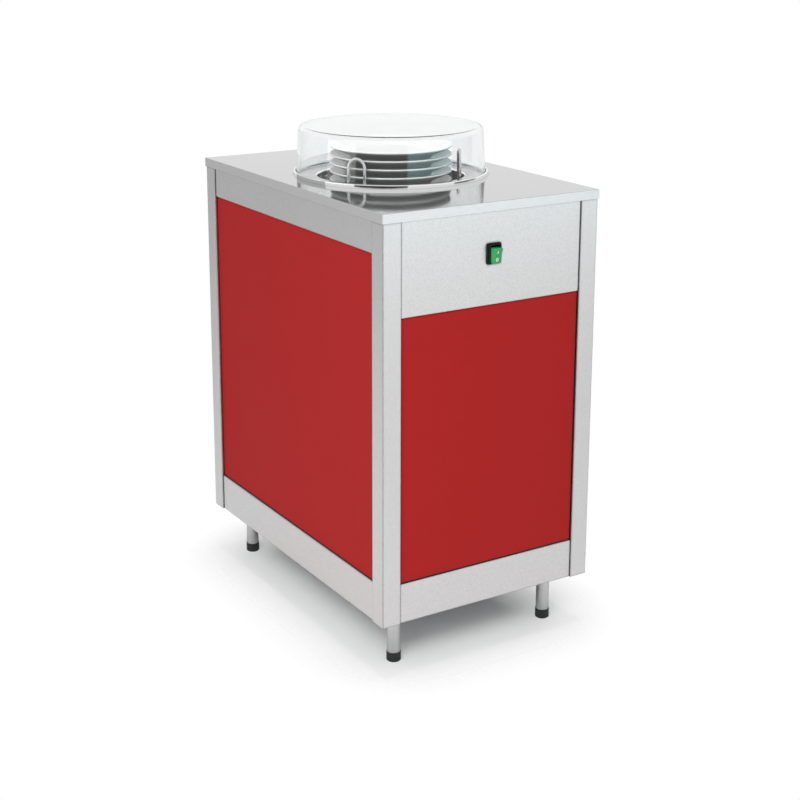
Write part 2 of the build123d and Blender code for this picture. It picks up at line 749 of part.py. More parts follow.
def all_nodes():
    """Every piece of the dispenser by its node's name."""
    nodes = {
        "worktop": worktop(),
        "worktop_stiffeners": worktop_stiffeners(),
    }
    nodes.update({f"post_{name}": shape for name, shape in at_corners(post()).items()})
    upper, lower = side_rail(upper_rail_bottom, deck_underside), side_rail(body_bottom, lower_rail_top)
    front_lower = end_rail(body_bottom, lower_rail_top)
    rear_lower = mirror(front_lower, Plane.XZ) - gland_turned(rod(gland_thread + 0.2, -2 * sheet, sheet))
    nodes.update({
        "left_upper_rail": upper,
        "right_upper_rail": mirror(upper, Plane.YZ),
        "left_lower_rail": lower,
        "right_lower_rail": mirror(lower, Plane.YZ),
        "front_lower_rail": front_lower,
        "rear_lower_rail": rear_lower,
        "control_panel": end_rail(control_panel_bottom, deck_underside) - switch_cutout(),
        "rear_panel": rear_panel(),
        "rear_panel_screws": rear_screws(),
        "left_panel": side_panel(),
        "right_panel": mirror(side_panel(), Plane.YZ),
        "front_panel": front_panel(),
        "left_panel_clips": side_clips(-1),
        "right_panel_clips": side_clips(1),
        "front_panel_clips": front_clips(),
        "floor_pan": floor_pan(),
        "legs": list(at_corners(leg()).values()),
        "leg_bolts": leg_bolts(),
        "rim_ring": rim_ring(),
        "well_casing": well_casing(),
        "insulation": insulation(),
        "well_liner": well_liner(),
        "guide_base_ring": guide_base_ring(),
        "cover": cover(),
        "guide_brackets": each_guide(guide_bracket()),
        "carrier": carrier(),
        "spring_hangers": each_guide(hanger()),
        "carrier_bushes": carrier_bushes(),
        "plate_stack": [plate(stack_foot + i * plate_pitch) for i in range(plate_count - 1)],
        "top_plate": plate(stack_foot + (plate_count - 1) * plate_pitch),
        "heater_element": heater_element(),
        "heater_guard": heater_guard(),
        "thermostat": thermostat(),
        "terminal_box": terminal_box(),
        "terminal_box_lid": terminal_box_lid(),
        "cable_gland": cable_gland(),
        "gland_nut": gland_nut(),
        "switch_bezel": switch_bezel(),
        "switch_terminals": switch_terminals(),
        "rocker": rocker(),
    })
    nodes.update({f"foot_{name}": shape for name, shape in at_corners(foot()).items()})
    for name, loop, coil in zip(("left", "right", "rear"), each_guide(guide_loop()), each_guide(spring())):
        nodes[f"guide_loop_{name}"] = loop
        nodes[f"spring_{name}"] = coil
    return nodes


os.makedirs("parts", exist_ok=True)
for node, shape in all_nodes().items():
    solids = [solid for piece in (shape if isinstance(shape, list) else [shape]) for solid in piece.solids()]
    export_step(solids[0] if len(solids) == 1 else Compound(children=solids), f"parts/{node}.step")
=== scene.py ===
import json
import logging
import math
from dataclasses import dataclass
from enum import Enum

import bmesh
import bpy
from mathutils import Matrix, Vector

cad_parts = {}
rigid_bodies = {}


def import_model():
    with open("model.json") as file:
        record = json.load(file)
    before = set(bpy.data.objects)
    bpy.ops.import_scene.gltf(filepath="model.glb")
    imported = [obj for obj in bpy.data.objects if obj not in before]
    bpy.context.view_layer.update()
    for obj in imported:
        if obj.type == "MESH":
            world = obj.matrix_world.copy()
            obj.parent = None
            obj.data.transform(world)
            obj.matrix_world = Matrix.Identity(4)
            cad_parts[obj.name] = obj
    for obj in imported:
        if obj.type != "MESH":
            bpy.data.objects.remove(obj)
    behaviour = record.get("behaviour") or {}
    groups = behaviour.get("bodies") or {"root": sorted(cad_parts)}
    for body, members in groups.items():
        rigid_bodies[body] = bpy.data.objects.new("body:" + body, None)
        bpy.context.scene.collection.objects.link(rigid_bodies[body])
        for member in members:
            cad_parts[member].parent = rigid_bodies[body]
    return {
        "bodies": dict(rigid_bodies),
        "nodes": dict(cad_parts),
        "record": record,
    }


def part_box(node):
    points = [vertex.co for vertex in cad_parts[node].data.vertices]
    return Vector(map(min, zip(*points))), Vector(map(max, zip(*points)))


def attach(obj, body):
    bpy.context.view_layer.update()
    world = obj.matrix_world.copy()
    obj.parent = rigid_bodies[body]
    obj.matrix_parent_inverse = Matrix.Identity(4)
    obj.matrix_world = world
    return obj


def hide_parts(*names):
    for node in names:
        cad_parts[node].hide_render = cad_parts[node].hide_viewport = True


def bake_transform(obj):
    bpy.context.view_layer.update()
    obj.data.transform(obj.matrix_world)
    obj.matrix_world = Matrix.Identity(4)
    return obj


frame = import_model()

logging.basicConfig(level=logging.INFO, format="%(message)s")
log = logging.getLogger("plate_dispenser")

Pair = tuple[float, float]
Outline = list[Pair]
Corner = tuple[float, float, float]
Point = tuple[float, float, float]
Colour = tuple[float, float, float]
Shell = bmesh.types.BMesh
Socket = bpy.types.NodeSocket
Node = bpy.types.Node
Tree = bpy.types.NodeTree
Thing = bpy.types.Object

ON_AXIS = 1e-7
PATTERN_CREASE = 40.0
GRAIN_RANGE = (0.3, 0.7)
MARK_SCALE = 7.0
FILM_SCALE = 25.0
FILM_COLOUR = (0.62, 0.61, 0.59, 1.0)
# Painted shade in crevices: the ambient-occlusion range that is mapped, and the near-black shade colour.
CREVICE_SHADE_RANGE = (0.35, 0.95)
CREVICE_SHADE_COLOUR = (0.02, 0.02, 0.02, 1.0)
CARD_REACH = 3.6
# Painted shade along edges: the bevel likeness range, how deep the shade goes and the shade colour.
EDGE_SHADE_RANGE = (0.985, 0.93)
EDGE_SHADE_DEPTH = 0.9
EDGE_SHADE_COLOUR = (0.03, 0.03, 0.03, 1.0)
BLACK = (0.0, 0.0, 0.0, 1.0)
WHITE = (1.0, 1.0, 1.0, 1.0)


# Mesh helpers

def rounded_outline(corners: list[Corner], steps: int = 6) -> Outline:
    """Turn a closed outline with a radius at each corner into plain points.

    Args:
        corners: The corners as (x, y, radius), where a radius of 0 stays sharp.
        steps: How many chords each rounded corner gets.

    Returns:
        The outline's points in the same order.
    """
    points: Outline = []
    for index, (x, y, radius) in enumerate(corners):
        here = Vector((x, y))
        if radius <= 0:
            points.append((x, y))
            continue
        back = (Vector(corners[index - 1][:2]) - here).normalized()
        ahead = (Vector(corners[(index + 1) % len(corners)][:2]) - here).normalized()
        half = back.angle(ahead) / 2
        centre = here + (back + ahead).normalized() * radius / math.sin(half)
        start = here + back * radius / math.tan(half) - centre
        end = here + ahead * radius / math.tan(half) - centre
        sweep = math.atan2(start.cross(end), start.dot(end))
        first = math.atan2(start.y, start.x)
        for step in range(steps + 1):
            angle = first + sweep * step / steps
            points.append((centre.x + radius * math.cos(angle), centre.y + radius * math.sin(angle)))
    return points


def turned_shell(outline: Outline, segments: int, heights: tuple[float, ...] = (0.0,)) -> Shell:
    """Turn a closed (radius, height) outline about the Z axis.

    Args:
        outline: The closed outline; points at radius 0 become poles.
        segments: Steps round the axis.
        heights: The height of each copy.

    Returns:
        The closed turned copies in one mesh.
    """
    mesh = bmesh.new()
    turn = [2 * math.pi * step / segments for step in range(segments)]
    for height in heights:
        rings = []
        for radius, level in outline:
            angles = turn if radius > ON_AXIS else turn[:1]
            rings.append([mesh.verts.new((radius * math.cos(a), radius * math.sin(a), level + height)) for a in angles])
        for ring, following in zip(rings, rings[1:] + rings[:1]):
            if len(ring) == 1 and len(following) == 1:
                continue
            for step in range(segments):
                after = (step + 1) % segments
                corners = [ring[step % len(ring)], ring[after % len(ring)], following[after % len(following)],
                           following[step % len(following)]]
                mesh.faces.new(list(dict.fromkeys(corners)))
    return mesh


def lofted_shell(loops: list[list[Vector]], closed: bool = False) -> Shell:
    """Skin a row of loops that all have the same number of points.

    Args:
        loops: The loops in order.
        closed: True joins the last loop to the first; False caps both ends.

    Returns:
        The closed skinned mesh.
    """
    mesh = bmesh.new()
    rings = [[mesh.verts.new(point) for point in loop] for loop in loops]
    pairs = list(zip(rings, rings[1:] + (rings[:1] if closed else [])))
    for ring, following in pairs:
        for step in range(len(ring)):
            after = (step + 1) % len(ring)
            mesh.faces.new([ring[step], ring[after], following[after], following[step]])
    if not closed:
        mesh.faces.new(rings[0])
        mesh.faces.new(rings[-1][::-1])
    return mesh


def new_thing(name: str, data: bpy.types.ID) -> Thing:
    """Make an object and put it into the scene."""
    bpy.context.scene.collection.objects.link(bpy.data.objects.new(name, data))
    return bpy.data.objects[name]


def add_piece(name: str, shell: Shell, body: str, slot: str, replaced: tuple[str, ...] = (),
              crease: float = 38.0) -> Thing:
    """Make a finished piece from a mesh.

    Args:
        name: The piece's name.
        shell: Its mesh, in the frame's place; it is freed here.
        body: The body it rides on, or an empty text for none.
        slot: The material slot that gives its finish.
        replaced: The CAD nodes it stands for.
        crease: The angle in degrees above which an edge stays sharp.

    Returns:
        The piece.
    """
    bmesh.ops.recalc_face_normals(shell, faces=shell.faces)
    mesh = bpy.data.meshes.new(name)
    shell.to_mesh(mesh)
    shell.free()
    mesh.polygons.foreach_set("use_smooth", [True] * len(mesh.polygons))
    mesh.set_sharp_from_angle(angle=math.radians(crease))
    mesh.materials.append(bpy.data.materials[slot])
    return placed(new_thing(name, mesh), body, replaced)


def placed(piece: Thing, body: str, replaced: tuple[str, ...]) -> Thing:
    """Join a piece to its body, hide the nodes it stands for and log it.

    Args:
        piece: The piece.
        body: The body it rides on, or an empty text for none.
        replaced: The CAD nodes it stands for.

    Returns:
        The piece.
    """
    if body:
        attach(piece, body)
    if replaced:
        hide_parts(*replaced)
    log.info("piece %s: %d faces on %s", piece.name, len(piece.data.polygons), body or "two bodies")
    return piece


# Shader helpers and groups

def supply(tree: Tree, value: object, socket: Socket) -> None:
    """Give an input its value.

    Args:
        tree: The input's tree.
        value: Another node's output, which is linked, or a plain value.
        socket: The input.
    """
    if isinstance(value, Socket):
        tree.links.new(value, socket)
    else:
        socket.default_value = value


def furnish(tree: Tree, node: Node, given: dict[str, object]) -> Node:
    """Set a node's properties, and set or link its inputs.

    Args:
        tree: The node's tree.
        node: The node.
        given: Values by name, with _ for a space: a name in small letters is a property, any other an input.

    Returns:
        The node.
    """
    for key, value in given.items():
        name = key.replace("_", " ")
        if key[0].islower():
            setattr(node, key, value)
        else:
            supply(tree, value, next(item for item in node.inputs if item.name == name and item.enabled))
    return node


class ShaderSheet:
    """Adds nodes to a shader tree and joins them."""

    def __init__(self, tree: Tree) -> None:
        """Keep the tree that the nodes go into."""
        self.tree = tree

    def add(self, kind: str, **given: object) -> Node:
        """Add a node by its type without the leading ShaderNode, with properties and inputs by name."""
        return furnish(self.tree, self.tree.nodes.new("ShaderNode" + kind), given)

    def feed(self, node: Node, **given: object) -> None:
        """Set or link inputs of a node by name."""
        furnish(self.tree, node, given)

    def fill(self, node: Node, values: tuple[object, ...], places: tuple[int, ...] = (0, 1, 2)) -> Node:
        """Set or link a node's inputs by their places.

        Args:
            node: The node.
            values: Values or outputs.
            places: The input that each one goes to.

        Returns:
            The node.
        """
        for place, value in zip(places, values):
            supply(self.tree, value, node.inputs[place])
        return node

    def calculate(self, operation: str, *values: object, kind: str = "Math", result: str = "Value") -> Socket:
        """Add a node that calculates with these values in order, and return one of its outputs."""
        return self.fill(self.add(kind, operation=operation), values).outputs[result]

    def stretch(self, value: Socket, low: float, high: float, to_low: float = 0.0, to_high: float = 1.0) -> Socket:
        """Map a value from one range to another, clamped, and return it."""
        node = self.add("MapRange", Value=value, From_Min=low, From_Max=high, To_Min=to_low, To_Max=to_high)
        return node.outputs["Result"]

    def normal(self) -> Socket:
        """Return the surface's normal."""
        return self.add("NewGeometry").outputs["Normal"]

    def uprightness(self) -> Socket:
        """Return the Z of the surface's normal: 1 faces up and -1 faces down."""
        return self.add("SeparateXYZ", Vector=self.normal()).outputs["Z"]

    def blend(self, factor: Socket, first: object, second: object) -> Socket:
        """Mix two colours by a mask, where 0 shows the first and 1 the second."""
        return self.fill(self.add("Mix", data_type="RGBA"), (factor, first, second), (0, 6, 7)).outputs[2]

    def choose(self, factor: Socket, first: Node, second: Node) -> Socket:
        """Mix two shaders by a mask, where 0 shows the first and 1 the second."""
        return self.fill(self.add("MixShader"), (factor, first.outputs[0], second.outputs[0])).outputs[0]


class EffectGroups:
    """The surface effects that several finishes share, each built once as a node group."""

    wide_scale: float = 0.27
    wide_share: float = 0.15

    def __init__(self) -> None:
        """Build every group."""
        self.grain = self._grain()
        self.handling = self._handling()
        self.dust = self._dust()

    @staticmethod
    def _start(name: str, inputs: dict[str, object], output: str) -> tuple[ShaderSheet, dict, Node]:
        """Begin a group with named inputs and one value output.

        Args:
            name: The group's name.
            inputs: Input names and defaults; a default of None is a vector.
            output: The output's name.

        Returns:
            The sheet, the group's input sockets by name and its output node.
        """
        tree = bpy.data.node_groups.new(name, "ShaderNodeTree")
        for key, default in inputs.items():
            kind = "NodeSocketVector" if default is None else "NodeSocketFloat"
            socket = tree.interface.new_socket(name=key, in_out="INPUT", socket_type=kind)
            if default is not None:
                socket.default_value = default
        tree.interface.new_socket(name=output, in_out="OUTPUT", socket_type="NodeSocketFloat")
        given = tree.nodes.new("NodeGroupInput").outputs
        return ShaderSheet(tree), {key: given[key] for key in inputs}, tree.nodes.new("NodeGroupOutput")

    def _grain(self) -> Tree:
        """Brushing lines: two noises, one finer, on a vector that the material has stretched."""
        sheet, given, out = self._start("Brushing lines", {"Vector": None, "Fineness": 60.0}, "Lines")
        fine = sheet.add("TexNoise", Vector=given["Vector"], Scale=given["Fineness"], Detail=4.0)
        coarse = sheet.calculate("MULTIPLY", given["Fineness"], self.wide_scale)
        wide = sheet.add("TexNoise", Vector=given["Vector"], Scale=coarse, Detail=2.0)
        share = sheet.calculate("MULTIPLY", wide.outputs[0], self.wide_share)
        sheet.feed(out, Lines=sheet.calculate("MULTIPLY_ADD", fine.outputs[0], 1 - self.wide_share, share))
        return sheet.tree

    def _handling(self) -> Tree:
        """Soft patches where hands and cloths have been."""
        sheet, given, out = self._start("Handling marks", {"Vector": None, "Scale": 6.0}, "Marks")
        noise = sheet.add("TexNoise", Vector=given["Vector"], Scale=given["Scale"], Detail=3.0, Distortion=0.6)
        sheet.feed(out, Marks=sheet.stretch(noise.outputs[0], 0.42, 0.68))
        return sheet.tree

    def _dust(self) -> Tree:
        """A thin film that only lies on faces that point up."""
        sheet, given, out = self._start("Settled film", {"Vector": None, "Scale": 30.0, "Amount": 0.3}, "Film")
        noise = sheet.add("TexNoise", Vector=given["Vector"], Scale=given["Scale"], Detail=5.0)
        lying = sheet.stretch(sheet.uprightness(), 0.6, 1.0)
        patchy = sheet.stretch(noise.outputs[0], 0.35, 0.7, 0.2, 1.0)
        film = sheet.calculate("MULTIPLY", sheet.calculate("MULTIPLY", lying, patchy), given["Amount"])
        sheet.feed(out, Film=film)
        return sheet.tree


# Finishes

class Run(Enum):
    """Which way a sheet is brushed, as its pattern's scale on X, Y and Z, small along the brushing."""

    ACROSS = (0.5, 14.0, 14.0)
    LEVEL = (0.6, 0.6, 14.0)
    UPRIGHT = (14.0, 14.0, 0.5)
    EVEN = (5.0, 5.0, 5.0)


@dataclass(frozen=True)
class FacingLightAndShade:
    """What a finish becomes on the faces whose normal's Z goes from `start` to `full`: a painted light-and-shade tone
    by which way a face points, with a roughness of its own.
    """

    colour: Colour
    rough: float
    start: float
    full: float


@dataclass(frozen=True)
class Finish:
    """A surface finish: the base of every material here, patterned on the piece's Object coordinates."""

    colour: Colour
    rough: float
    fineness: float
    contrast: float
    swing: float
    bump: float
    metallic: float = 0.0
    run: Run = Run.EVEN
    bump_depth: float = 0.0002
    marks: float = 0.03
    film: float = 0.0
    coat: float = 0.0
    gloss: float = 0.5
    # The next four fields paint shade into the tone: in crevices by ambient occlusion within a reach, along edges by a
    # bevel, and as light and shade by which way a face points.
    crevice_shade: float = 0.0
    crevice_shade_reach: float = 0.005
    edge_shade: float = 0.0
    turned: FacingLightAndShade | None = None

    def build(self, name: str, groups: EffectGroups) -> bpy.types.Material:
        """Make the material.

        Args:
            name: The material's name, which is its slot's.
            groups: The shared effects.

        Returns:
            The material.
        """
        material = bpy.data.materials.new(name)
        material.use_nodes = True
        sheet = ShaderSheet(material.node_tree)
        shader = material.node_tree.nodes["Principled BSDF"]
        where = sheet.add("TexCoord").outputs["Object"]
        stretched = sheet.add("Mapping", Vector=where, Scale=self.run.value).outputs[0]
        lines = self._effect(sheet, groups.grain, Vector=stretched, Fineness=self.fineness)
        marks = self._effect(sheet, groups.handling, Vector=where, Scale=MARK_SCALE)
        swing = sheet.stretch(lines, *GRAIN_RANGE, -1.0, 1.0)
        darker, lighter = self._shade(1 - self.contrast), self._shade(1 + self.contrast)
        tone = sheet.blend(sheet.stretch(lines, *GRAIN_RANGE), darker, lighter)
        if self.film:
            film = self._effect(sheet, groups.dust, Vector=where, Scale=FILM_SCALE, Amount=self.film)
            tone = sheet.blend(film, tone, FILM_COLOUR)
        rough = sheet.calculate("MULTIPLY_ADD", swing, self.swing, self.rough)
        # Painted light and shade: faces that point one way take another tone and roughness.
        if self.turned:
            other = sheet.stretch(sheet.uprightness(), self.turned.start, self.turned.full)
            tone = sheet.blend(other, tone, self._painted_facing_tone(sheet, swing))
            rough = sheet.calculate("MULTIPLY_ADD", other, self.turned.rough - self.rough, rough)
        # Painted shade in crevices.
        if self.crevice_shade:
            tone = self._paint_crevice_shade(sheet, tone)
        # Painted shade along edges.
        if self.edge_shade:
            tone = self._paint_edge_shade(sheet, tone)
        rough = sheet.calculate("MULTIPLY_ADD", marks, self.marks, rough)
        bump = sheet.add("Bump", Height=lines, Strength=self.bump, Distance=self.bump_depth)
        sheet.feed(shader, Base_Color=tone, Roughness=rough, Normal=bump.outputs[0], Metallic=self.metallic,
                   Specular_IOR_Level=self.gloss)
        if self.coat:
            sheet.feed(shader, Coat_Weight=self.coat, Coat_Roughness=0.05)
        self.complete(sheet, shader)
        return material

    @staticmethod
    def _effect(sheet: ShaderSheet, group: Tree, **inputs: object) -> Socket:
        """Place a shared effect in the material and return its output."""
        return sheet.add("Group", node_tree=group, **inputs).outputs[0]

    def _shade(self, factor: float) -> tuple[float, ...]:
        """Return the finish's colour, brighter or darker by a factor."""
        return tuple(min(channel * factor, 1.0) for channel in self.colour) + (1.0,)

    def _painted_facing_tone(self, sheet: ShaderSheet, swing: Socket) -> Socket:
        """Return the painted light-and-shade colour of the turned faces, with the grain's speckle in it."""
        speckle = sheet.stretch(sheet.calculate("MULTIPLY", swing, self.contrast), -1.0, 1.0)
        return sheet.blend(speckle, BLACK, tuple(2 * channel for channel in self.turned.colour) + (1.0,))

    def _paint_crevice_shade(self, sheet: ShaderSheet, tone: Socket) -> Socket:
        """Paint shade into the tone in joints and under overhangs, where ambient occlusion finds close surfaces."""
        open_sky = sheet.add("AmbientOcclusion", samples=6, Distance=self.crevice_shade_reach).outputs["AO"]
        return sheet.blend(sheet.stretch(open_sky, *CREVICE_SHADE_RANGE, self.crevice_shade, 0.0), tone, CREVICE_SHADE_COLOUR)

    def _paint_edge_shade(self, sheet: ShaderSheet, tone: Socket) -> Socket:
        """Paint a hair's breadth of shade along cut edges, where sheets meet."""
        rounded = sheet.add("Bevel", samples=4, Radius=self.edge_shade).outputs[0]
        likeness = sheet.calculate("DOT_PRODUCT", rounded, sheet.normal(), kind="VectorMath")
        return sheet.blend(sheet.stretch(likeness, *EDGE_SHADE_RANGE, 0.0, EDGE_SHADE_DEPTH), tone, EDGE_SHADE_COLOUR)

    def complete(self, sheet: ShaderSheet, shader: Node) -> None:
        """Add what one kind of finish has besides the common base."""


@dataclass(frozen=True)
class MetalFinish(Finish):
    """Bare metal."""

    metallic: float = 1.0


@dataclass(frozen=True)
class ClearFinish(Finish):
    """Clear moulded plastic that lets lamp light through."""

    index: float = 1.49
    absorbed: Colour = (0.78, 0.83, 0.82)
    density: float = 30.0
    # The colour of the painted shade on the outline, where the wall is seen edge-on.
    line: Colour = (0.30, 0.31, 0.31)
    wall_range: Pair = (0.35, 0.15)
    grazing_range: Pair = (0.84, 0.95)

    def complete(self, sheet: ShaderSheet, shader: Node) -> None:
        """Make the shader transmit, paint shade on its outline where the wall is seen edge-on, and let shadow and
        diffuse rays pass straight through.

        Args:
            sheet: The material's sheet.
            shader: The material's shader.
        """
        body = shader.inputs["Base Color"].links[0].from_socket
        # Painted shade on the outline: upright walls seen edge-on turn dark, in place of the dark lines that refraction
        # gives.
        wall = sheet.stretch(sheet.calculate("ABSOLUTE", sheet.uprightness()), *self.wall_range)
        grazing = sheet.stretch(sheet.add("LayerWeight").outputs["Facing"], *self.grazing_range)
        painted_outline_shade = sheet.blend(sheet.calculate("MULTIPLY", wall, grazing), body, (*self.line, 1.0))
        sheet.feed(shader, Base_Color=painted_outline_shade, Transmission_Weight=1.0, IOR=self.index)
        path = sheet.add("LightPath").outputs
        passing = sheet.calculate("MAXIMUM", path["Is Shadow Ray"], path["Is Diffuse Ray"])
        depth = sheet.add("VolumeAbsorption", Color=(*self.absorbed, 1.0), Density=self.density)
        sheet.feed(sheet.tree.nodes["Material Output"], Volume=depth.outputs[0],
                   Surface=sheet.choose(passing, shader, sheet.add("BsdfTransparent")))


def finishes() -> dict[str, Finish]:
    """List the finish of each material slot.

    Returns:
        The finishes by slot, each with its colour, its roughness and its grain's fineness, contrast, swing and bump.
    """
    return {
        # Worktop: ambient occlusion paints shade in its joints; its skirt faces are rougher and painted lighter than
        # its top.
        "worktop_steel": MetalFinish((0.49, 0.49, 0.493), 0.07, 90.0, 0.10, 0.02, 0.06, run=Run.ACROSS, marks=0.01,
                                     film=0.02, crevice_shade=0.6, turned=FacingLightAndShade((0.69, 0.687, 0.687), 0.38, 0.6, 0.4)),
        # Cabinet steel: ambient occlusion paints shade in joints and recesses, and a bevel paints shade along the edges
        # between sheets.
        "cabinet_steel": MetalFinish((0.66, 0.655, 0.655), 0.38, 170.0, 0.17, 0.05, 0.12, marks=0.012, crevice_shade=1.0,
                                     edge_shade=0.0026),
        "zinc_steel": MetalFinish((0.52, 0.53, 0.54), 0.42, 20.0, 0.14, 0.10, 0.06, film=0.2),
        # Red panels: ambient occlusion paints shade along their recessed borders.
        "red_paint": Finish((0.410, 0.0205, 0.0205), 0.55, 160.0, 0.03, 0.03, 0.06, gloss=0.03, crevice_shade=1.0),
        "leg_steel": MetalFinish((0.58, 0.58, 0.585), 0.32, 60.0, 0.08, 0.05, 0.08, run=Run.LEVEL),
        "foot_plastic": Finish((0.014, 0.014, 0.015), 0.55, 180.0, 0.2, 0.1, 0.2, film=0.05),
        "fastener_steel": MetalFinish((0.55, 0.55, 0.56), 0.30, 120.0, 0.12, 0.08, 0.1),
        # Rim: its flat, upward faces are painted darker, a painted shade and reflection on the flange.
        "rim_chrome": MetalFinish((0.92, 0.92, 0.925), 0.05, 40.0, 0.02, 0.015, 0.015, marks=0.02,
                                  turned=FacingLightAndShade((0.30, 0.30, 0.305), 0.12, 0.985, 0.998)),
        "liner_steel": MetalFinish((0.56, 0.56, 0.565), 0.25, 60.0, 0.08, 0.05, 0.06, run=Run.UPRIGHT),
        "guide_wire": MetalFinish((0.66, 0.66, 0.67), 0.16, 90.0, 0.05, 0.04, 0.04),
        "spring_steel": MetalFinish((0.42, 0.42, 0.43), 0.32, 90.0, 0.12, 0.08, 0.05),
        "clear_plastic": ClearFinish((0.985, 0.995, 0.995), 0.012, 20.0, 0.0, 0.004, 0.01, marks=0.006),
        "nylon": Finish((0.78, 0.77, 0.71), 0.5, 90.0, 0.04, 0.05, 0.06),
        # Plates: ambient occlusion paints shade between them, and their undersides are painted darker as shade and made
        # rougher.
        "porcelain": Finish((0.88, 0.88, 0.87), 0.16, 8.0, 0.015, 0.03, 0.03, gloss=0.08, crevice_shade=0.70,
                            crevice_shade_reach=0.025, turned=FacingLightAndShade((0.75, 0.75, 0.75), 0.8, -0.2, -0.5)),
        "mineral_wool": Finish((0.52, 0.46, 0.28), 0.95, 50.0, 0.3, 0.03, 0.8, bump_depth=0.002),
        "element_sheath": MetalFinish((0.16, 0.15, 0.14), 0.5, 50.0, 0.25, 0.1, 0.15),
        "black_plastic": Finish((0.010, 0.010, 0.011), 0.5, 220.0, 0.15, 0.06, 0.2, gloss=0.2),
        "brass_tab": MetalFinish((0.72, 0.56, 0.26), 0.3, 60.0, 0.1, 0.06, 0.05),
        "green_plastic": Finish((0.035, 0.36, 0.110), 0.35, 160.0, 0.05, 0.04, 0.06, coat=0.1, gloss=0.25),
        "print_white": Finish((0.86, 0.86, 0.84), 0.45, 200.0, 0.02, 0.03, 0.03),
    }


def dress_frame() -> None:
    """Build every finish and give each CAD node the one of its slot."""
    for packed in list(bpy.data.materials):
        packed.name = "packed_" + packed.name
    groups = EffectGroups()
    materials = {name: finish.build(name, groups) for name, finish in finishes().items()}
    for row in frame["record"]["subparts"]:
        node = frame["nodes"][row["node"]]
        node.data.materials.clear()
        node.data.materials.append(materials[row["material_slot"]])
        node.data.polygons.foreach_set("use_smooth", [True] * len(node.data.polygons))
    log.info("dressed %d nodes in %d finishes", len(frame["nodes"]), len(materials))


# Geometry Nodes

class PatternTree:
    """A Geometry Nodes tree with named inputs that ends in Realize Instances and Set Material."""

    def __init__(self, name: str, inputs: dict[str, float | Point], takes_points: bool = False) -> None:
        """Begin the tree.

        Args:
            name: The tree's name.
            inputs: Input names and defaults, each a number or a vector.
            takes_points: True gives the tree a Geometry input.
        """
        self.tree = bpy.data.node_groups.new(name, "GeometryNodeTree")
        face = self.tree.interface
        face.new_socket(name="Geometry", in_out="OUTPUT", socket_type="NodeSocketGeometry")
        if takes_points:
            face.new_socket(name="Points", in_out="INPUT", socket_type="NodeSocketGeometry")
        for key, default in inputs.items():
            kind = "NodeSocketVector" if isinstance(default, tuple) else "NodeSocketFloat"
            face.new_socket(name=key, in_out="INPUT", socket_type=kind).default_value = default
        self.given = self.tree.nodes.new("NodeGroupInput").outputs

    def add(self, kind: str, **given: object) -> Node:
        """Add a node by its type, where a geometry node's leading GeometryNode is left out."""
        full = kind if kind.startswith("ShaderNode") else "GeometryNode" + kind
        return furnish(self.tree, self.tree.nodes.new(full), given)

    def close(self, result: Socket, material: str) -> None:
        """End the tree: realize what it made and set its material.

        Args:
            result: The geometry that the tree has made.
            material: The name of its material.
        """
        realized = self.add("RealizeInstances", Geometry=result)
        dressed = self.add("SetMaterial", Geometry=realized.outputs[0])
        dressed.inputs["Material"].default_value = bpy.data.materials[material]
        self.tree.links.new(dressed.outputs[0], self.tree.nodes.new("NodeGroupOutput").inputs[0])

    def grow(self, name: str, values: dict[str, object], points: tuple[Vector, ...] = ()) -> Thing:
        """Run the tree on a new object and keep the result as its plain mesh.

        Args:
            name: The object's name.
            values: Input values by name.
            points: Places that the tree's instances stand on.

        Returns:
            The object, with no modifier left.
        """
        seed = bpy.data.meshes.new(name + "_seed")
        seed.from_pydata([tuple(point) for point in points], [], [])
        piece = new_thing(name, seed)
        modifier = piece.modifiers.new("pattern", "NODES")
        modifier.node_group = self.tree
        for item in self.tree.interface.items_tree:
            if item.in_out == "INPUT" and item.name in values:
                modifier[item.identifier] = values[item.name]
        bpy.context.view_layer.update()
        evaluated = piece.evaluated_get(bpy.context.evaluated_depsgraph_get())
        mesh = bpy.data.meshes.new_from_object(evaluated)
        mesh.name = name
        piece.modifiers.clear()
        piece.data = mesh
        bpy.data.meshes.remove(seed)
        mesh.set_sharp_from_angle(angle=math.radians(PATTERN_CREASE))
        return piece


def spring_tree() -> PatternTree:
    """Build the tree of a close-wound tension spring with a straight hook at each end."""
    tree = PatternTree("Tension spring", {
        "Coil Radius": 0.005, "Wire Radius": 0.001, "Turns": 40.0, "Coil Length": 0.1, "Low End": (0.0, 0.0, 0.0),
        "High End": (0.0, 0.0, 0.1), "Coil Foot": (0.0, 0.0, 0.0), "Coil Head": (0.0, 0.0, 0.1),
    })
    given = tree.given
    coil = tree.add("CurveSpiral", Resolution=20, Rotations=given["Turns"],
                    Start_Radius=given["Coil Radius"], End_Radius=given["Coil Radius"], Height=given["Coil Length"])
    seated = tree.add("Transform", Geometry=coil.outputs[0], Translation=given["Coil Foot"])
    low = tree.add("CurvePrimitiveLine", Start=given["Low End"], End=given["Coil Foot"])
    high = tree.add("CurvePrimitiveLine", Start=given["Coil Head"], End=given["High End"])
    join = tree.add("JoinGeometry")
    for part in (seated, low, high):
        tree.tree.links.new(part.outputs[0], join.inputs[0])
    wire = tree.add("CurvePrimitiveCircle", Resolution=8, Radius=given["Wire Radius"])
    drawn = tree.add("CurveToMesh", Curve=join.outputs[0], Profile_Curve=wire.outputs[0], Fill_Caps=True)
    smooth = tree.add("SetShadeSmooth", Geometry=drawn.outputs[0])
    tree.close(smooth.outputs[0], "spring_steel")
    return tree


